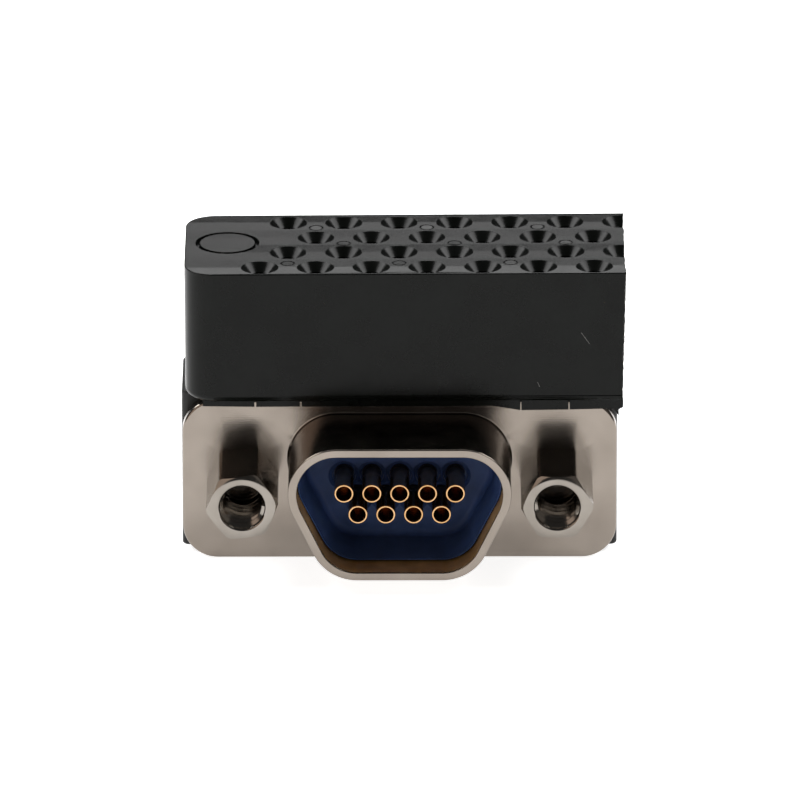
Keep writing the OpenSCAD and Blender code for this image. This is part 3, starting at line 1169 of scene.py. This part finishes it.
@dataclass
class Guard(Piece):
    """Moulded guard strip: rounded end, countersunk holes, round marks and a sawn end."""

    node: str = "tail_guard"
    slot: str = "black_guard"
    body: Body = Body.GUARD
    corner_r: float = 1.4
    corner_steps: int = 18
    edge_r: float = 0.4
    edge_steps: int = 8
    top_edge: float = 0.05
    top_edge_steps: int = 3
    # Rows of holes: first hole in pitches from the middle, and place along Y.
    rows: tuple[Point, ...] = ((-2.5, 0.15), (-2, 2.15), (-1.5, 4.15), (-2, 6.15))
    row_most: int = 9
    pitch: float = 2.54
    bore_r: float = 0.45
    sink_r: float = 0.85
    sink_edge: float = 0.08
    sink_edge_steps: int = 5
    hole_past: float = 1
    hole_steps: int = 48
    mark: Groove = Groove(1.36, 0.22, 0.2, 64)
    mark_at: Point = (-7.86, 3.5)
    dot: Groove = Groove(0.3, 0.08, 0.06, 32)
    # Rows of small rings: place along Y, and places along X.
    dot_rows: tuple[tuple[float, tuple[float, ...]], ...] = (
        (0.7, (-5.08, 0, 5.08)), (3.35, (-2.54, 2.54, 7.62)), (5.45, (-3.81, 1.27, 6.35)))
    groove_past: float = 0.2
    # Turn of the sawn end about Z and about Y, in degrees.
    cut_turn: tuple[float, float] = (0.1, 1.5)
    cut_grid: int = 22
    cut_rough: float = 0.05
    cut_seed: int = 7
    crown: float = 0.055
    crown_steps: int = 8
    # Turn of the whole guard about Y, in degrees.
    tilt: float = 0.22
    # Front and back of the flash.
    flash_at: Point = (-0.42, -0.36)
    # Runs of flash: left end, right end, and how far it hangs down at each.
    flash_runs: tuple[tuple[float, float, float, float], ...] = (
        (-9.0, -6.64, 0.26, 0.3), (-6.56, -4.56, 0.3, 0.3), (-4.48, 4.2, 0.3, 0.3), (4.2, 5.5, 0.3, 0.52),
        (5.55, 7.7, 0.52, 0.5), (7.75, 9.75, 0.5, 0.46), (9.75, 10.0, 0.46, 0.82), (10.0, 10.2, 0.5, 0.4))
    flash_taper: float = 0.4
    # Scratches in the front: middle along X and Z, length, and fall to the right in degrees.
    scratches: tuple[tuple[float, float, float, float], ...] = (
        (8.3, 7.35, 1.25, 55), (6.26, 5.05, 0.62, 67), (9.5, 5.42, 0.14, 5))
    scratch_w: float = 0.03
    scratch_proud: float = 0.008

    def soften(self, strip: bpy.types.Object, height: float, size: float, steps: int) -> None:
        """Round the edges at one height of the strip in edit mode, apart from the sawn end's.

        Args:
            strip: The strip.
            height: Height of the edges.
            size: Size of the rounding.
            steps: Stretches in it.
        """
        right = self.high().x * MM
        Bench.pick(strip, Part.EDGE, lambda e: lies_at(e, Axis.Z, height * MM)
                   and not lies_at(e, Axis.X, right))
        Bench.bevel(size, steps)

    def blank(self) -> bpy.types.Object:
        """Strip with its rounded end and edges, its rough sawn end and its sunken top.

        Returns:
            The strip.
        """
        low, high = self.low(), self.high()
        strip = Bench.box("tail_guard_visual", low, high)
        left = low.x * MM
        with Bench.editing(strip):
            Bench.pick(strip, Part.EDGE, lambda e: lies_at(e, Axis.X, left) and span(e, Axis.Z) > MM)
            Bench.bevel(self.corner_r, self.corner_steps)
            self.soften(strip, low.z, self.edge_r, self.edge_steps)
            self.soften(strip, high.z, self.top_edge, self.top_edge_steps)
        self.saw(strip)
        self.sink(strip)
        return strip

    def sink(self, strip: bpy.types.Object) -> None:
        """Let the top fall away a little towards its front and back, as moulded faces do.

        Args:
            strip: The strip.
        """
        top = (self.high().z - self.top_edge) * MM
        front, back = self.low().y + self.top_edge, self.high().y - self.top_edge
        with Bench.editing(strip):
            for i in range(self.crown_steps + 1):
                share = 2 * i / self.crown_steps - 1
                depth = (front + i * (back - front) / self.crown_steps) * MM
                bpy.ops.mesh.select_all(action="SELECT")
                bpy.ops.mesh.bisect(plane_co=(0, depth, 0), plane_no=(0, 1, 0))
                Bench.pick(strip, Part.VERT, lambda v: v.co.z > top + EPS and abs(v.co.y - depth) < MERGE)
                bpy.ops.transform.translate(value=(0, 0, -self.crown * share ** 2 * MM))

    def saw(self, strip: bpy.types.Object) -> None:
        """Tilt the sawn end and roughen it.

        Args:
            strip: The strip.
        """
        high = self.high()
        right = high.x * MM
        pivot = (high.x - self.cut_rough, self.low().y, high.z)
        turn_z, turn_y = self.cut_turn
        with Bench.editing(strip):
            Bench.pick(strip, Part.FACE, lambda f: lies_at(f, Axis.X, right))
            bpy.ops.mesh.quads_convert_to_tris()
            bpy.ops.mesh.subdivide(number_cuts=self.cut_grid)
            Bench.rotate(-turn_z, Axis.Z, pivot)
            Bench.rotate(-turn_y, Axis.Y, pivot)
            bpy.ops.transform.vertex_random(offset=self.cut_rough * MM, seed=self.cut_seed)

    def hole_tool(self) -> bpy.types.Object:
        """Cutter of one hole at the origin, countersunk at 45 degrees with a rounded rim.

        Returns:
            The cutter.
        """
        low, top, edge = self.low().z, self.high().z, self.sink_edge
        rim_r = self.sink_r + edge * math.tan(math.radians(45 / 2))
        sink = self.sink_r - self.bore_r
        return Bench.turned("hole", [
            (0, low - self.hole_past),
            (self.bore_r, low - self.hole_past),
            (self.bore_r, top - sink),
            *arc((rim_r, top - edge), edge, 135, 90, self.sink_edge_steps),
            (rim_r, top + self.hole_past),
            (0, top + self.hole_past),
        ], (0, 0, 0), self.hole_steps, upright=True)

    def ring_tool(self, name: str, groove: Groove, at: Point) -> bpy.types.Object:
        """Cutter of a round groove in the top.

        Args:
            name: Name of the new object.
            groove: The groove.
            at: Its middle.

        Returns:
            The cutter.
        """
        top, past, radius = self.high().z, self.groove_past, groove.radius
        outer, inner = groove.width / 2, groove.width / 4
        return Bench.turned(name, [
            (radius - outer, top + past),
            (radius - outer, top),
            (radius - inner, top - groove.depth),
            (radius + inner, top - groove.depth),
            (radius + outer, top),
            (radius + outer, top + past),
        ], (*at, 0), groove.steps, upright=True)

    def tools(self) -> bpy.types.Object:
        """All cutters in one body. Every row has as many holes as reach the sawn end.

        Returns:
            The cutters.
        """
        first = self.hole_tool()
        end = self.high().x + self.sink_r
        spots = [((start + i) * self.pitch, y) for start, y in self.rows for i in range(self.row_most)]
        reached = [(x, y) for x, y in spots if x < end]
        tools = [Bench.copy(first, f"hole_{i}", (x, y, 0)) for i, (x, y) in enumerate(reached)]
        bpy.data.objects.remove(first)
        tools.append(self.ring_tool("mark", self.mark, self.mark_at))
        tools += [self.ring_tool("dot", self.dot, (x, y)) for y, row in self.dot_rows for x in row]
        return Bench.join(*tools)

    def flash(self) -> list[bpy.types.Object]:
        """Thin moulding flash that hangs under the front edge, torn in a few places.

        Returns:
            One skirt for every run.
        """
        front, back = self.flash_at
        under = self.low().z
        top = under + self.top_edge
        skirts = []
        for left, right, fall_left, fall_right in self.flash_runs:
            middle = (left + right) / 2 * MM
            skirt = Bench.box("flash", (left, front, under - fall_left), (right, back, top))
            with Bench.editing(skirt):
                Bench.pick(skirt, Part.VERT, lambda v: v.co.x > middle and v.co.z < under * MM)
                bpy.ops.transform.translate(value=(0, 0, (fall_left - fall_right) * MM))
                Bench.pick(skirt, Part.VERT, lambda v: v.co.z < under * MM)
                bpy.ops.transform.resize(value=(1, self.flash_taper, 1))
            skirts.append(skirt)
        return skirts

    def scratch(self, x: float, z: float, length: float, fall: float) -> bpy.types.Object:
        """Raised burr of one scratch in the front face.

        Args:
            x: Place of its middle along X.
            z: Place of its middle along Z.
            length: Its length.
            fall: How far it turns down to the right, in degrees.

        Returns:
            The burr.
        """
        front, half = self.low().y, self.scratch_w / 2
        burr = Bench.box("scratch", (x - length / 2, front - self.scratch_proud, z - half),
                         (x + length / 2, front + self.top_edge, z + half))
        with Bench.editing(burr):
            Bench.rotate(-fall, Axis.Y, (x, front, z))
        return burr

    def dress(self, piece: bpy.types.Object, materials: Materials) -> None:
        """Whiten the plastic on the scratches' burrs."""
        proud = (self.low().y - self.scratch_proud / 2) * MM
        self.second_finish(piece, materials["guard_scratch"], lambda f: f.calc_center_median().y < proud)

    def model(self) -> bpy.types.Object:
        """Cut the holes and marks into the strip, add its flash and scratches, and turn it a little.

        Returns:
            The guard.
        """
        strip = self.blank()
        Bench.carve(strip, self.tools())
        Bench.join(strip, *self.flash(), *(self.scratch(*spot) for spot in self.scratches))
        with Bench.editing(strip):
            Bench.rotate(self.tilt, Axis.Y, self.middle())
        return strip


@dataclass(frozen=True)
class Lamp:
    """Square soft light: place and size in millimetres, power in watts, and its tint."""

    name: str
    place: tuple[float, float, float]
    size: float
    power: float
    tint: Colour = WHITE

    def hang(self, aim: Sequence[float]) -> None:
        """Hang the lamp in its place.

        Args:
            aim: Point that it looks at.
        """
        lamp = bpy.data.lights.new(self.name, "AREA")
        lamp.size = self.size * MM
        lamp.energy = self.power
        lamp.color = self.tint
        holder = bpy.data.objects.new(self.name, lamp)
        bpy.context.scene.collection.objects.link(holder)
        holder.location = Vector(self.place) * MM
        towards = Vector(aim) - Vector(self.place)
        holder.rotation_euler = towards.to_track_quat("-Z", "Y").to_euler()


@dataclass
class Studio:
    """Pale lit table, soft lamps and the photo's camera. Sizes are millimetres and degrees."""

    elevation: float = 20.5
    distance: float = 600
    lens: float = 591
    sensor: float = 36
    clip: tuple[float, float] = (50, 20000)
    aim: tuple[float, float, float] = (0.02, 0, 3.85)
    roll: float = 0.06
    table_size: float = 3000
    table_z: float = -3.87
    table_finish: Finish = Finish("table", (0.78, 0.78, 0.78), (0.82, 0.82, 0.82), (0.7, 0.8), glow=0.85,
                                  mottle=300, grain=3)
    room: float = 0.06
    lamps: tuple[Lamp, ...] = (
        Lamp("left", (-450, 130, 520), 340, 3.2),
        Lamp("right", (450, 130, 520), 340, 3.2),
        Lamp("above", (0, 420, 640), 400, 1.6),
        Lamp("backdrop", (0, 900, 655), 560, 2.8),
        Lamp("front_left", (-370, -430, 150), 500, 0.7, (1.0, 0.8, 0.68)),
        Lamp("front_right", (400, -400, 150), 500, 0.14, (1.0, 0.9, 0.82)),
    )

    def table(self) -> None:
        """Lay the pale table."""
        Bench.activate()
        bpy.ops.mesh.primitive_plane_add(size=self.table_size * MM, location=(0, 0, self.table_z * MM))
        table = Bench.named("table")
        table.data.materials.append(self.table_finish.material())

    def world(self) -> None:
        """Fill the room with a little even light."""
        world = bpy.data.worlds.new("room")
        world.use_nodes = True
        background = world.node_tree.nodes["Background"]
        background.inputs["Color"].default_value = (*WHITE, 1)
        background.inputs["Strength"].default_value = self.room
        bpy.context.scene.world = world

    def camera(self) -> None:
        """Set the camera at the photo's angle."""
        data = bpy.data.cameras.new("camera")
        data.lens = self.lens
        data.sensor_width = self.sensor
        data.clip_start, data.clip_end = (place * MM for place in self.clip)
        camera = bpy.data.objects.new("camera", data)
        bpy.context.scene.collection.objects.link(camera)
        rise = math.radians(self.elevation)
        aim = Vector(self.aim)
        camera.location = (aim + self.distance * Vector((0, -math.cos(rise), math.sin(rise)))) * MM
        camera.rotation_euler = (math.radians(90 - self.elevation), 0, 0)
        camera.rotation_euler.rotate_axis("Z", math.radians(-self.roll))
        bpy.context.scene.camera = camera

    def build(self) -> None:
        """Set up the whole studio."""
        bpy.context.scene.view_settings.view_transform = "Standard"
        self.table()
        self.world()
        for lamp in self.lamps:
            lamp.hang(self.aim)
        self.camera()
        log.info("studio ready with %d lamps", len(self.lamps))


FINISHES = (
    Finish("nickel_shell", (0.208, 0.18, 0.154), (0.242, 0.212, 0.183), (0.15, 0.23), metallic=1.0,
           mottle=2.5, grain=0.07, grain_depth=1.5, lines=Lines(0.11, 0.25)),
    # Inside of the shroud: its brown is a painted reflection of the gold sockets, not a plating of its own.
    Finish("shell_bore", (0.45, 0.275, 0.105), (0.64, 0.42, 0.19), (0.3, 0.42), metallic=0.5,
           mottle=1.2, grain=0.06),
    Finish("nickel_post", (0.21, 0.19, 0.166), (0.245, 0.224, 0.199), (0.1, 0.16), metallic=1.0,
           grain_depth=0.6),
    Finish("blue_insulator", (0.024, 0.047, 0.13), (0.032, 0.062, 0.172), (0.3, 0.4), specular=0.1,
           grain=0.08, grain_depth=0.8),
    Finish("gold_contact", (0.5, 0.29, 0.125), (0.6, 0.37, 0.185), (0.14, 0.24), metallic=1.0,
           mottle=0.5, grain_depth=0.8),
    Finish("brass_insert", (0.62, 0.42, 0.16), (0.76, 0.55, 0.24), (0.22, 0.34), metallic=1.0,
           mottle=0.8, grain=0.06),
    Finish("black_housing", (0.005, 0.005, 0.005), (0.009, 0.009, 0.0085), (0.42, 0.56), specular=0.28,
           grain=0.07, grain_depth=4.0),
    Finish("black_guard", (0.0025, 0.003, 0.0025), (0.004, 0.0048, 0.0042), (0.2, 0.26), specular=0.12,
           grain=0.08, grain_depth=1.2, swell_depth=4, scratches=Scratches((1, 1, 0.06), 0.12, 1.5, 0.2)),
    Finish("guard_scratch", (0.045, 0.045, 0.042), (0.1, 0.1, 0.094), (0.5, 0.6), mottle=0.3),
)

PIECES = (
    Shell(),
    Insulator(),
    Jackpost(),
    Jackpost(node="jackpost_right", axis_x=POST_X, turn=0),
    *(Socket(node=f"socket_{i + 1}") for i in range(SOCKET_COUNT)),
    Housing(),
    Guard(),
)


def dress_frame(materials: Materials) -> None:
    """Give every CAD node the material of its slot.

    Args:
        materials: Material of every slot.
    """
    slots = {part["node"]: part["material_slot"] for part in frame["record"]["subparts"]}
    for name, node in frame["nodes"].items():
        node.data.materials.clear()
        node.data.materials.append(materials[slots[name]])


def main() -> None:
    """Build the looks and the studio."""
    logging.basicConfig(level=logging.INFO, format="%(message)s")
    materials = {finish.slot: finish.material() for finish in FINISHES}
    dress_frame(materials)
    for piece in PIECES:
        piece.place(materials)
    Studio().build()


if __name__ == "__main__":
    main()
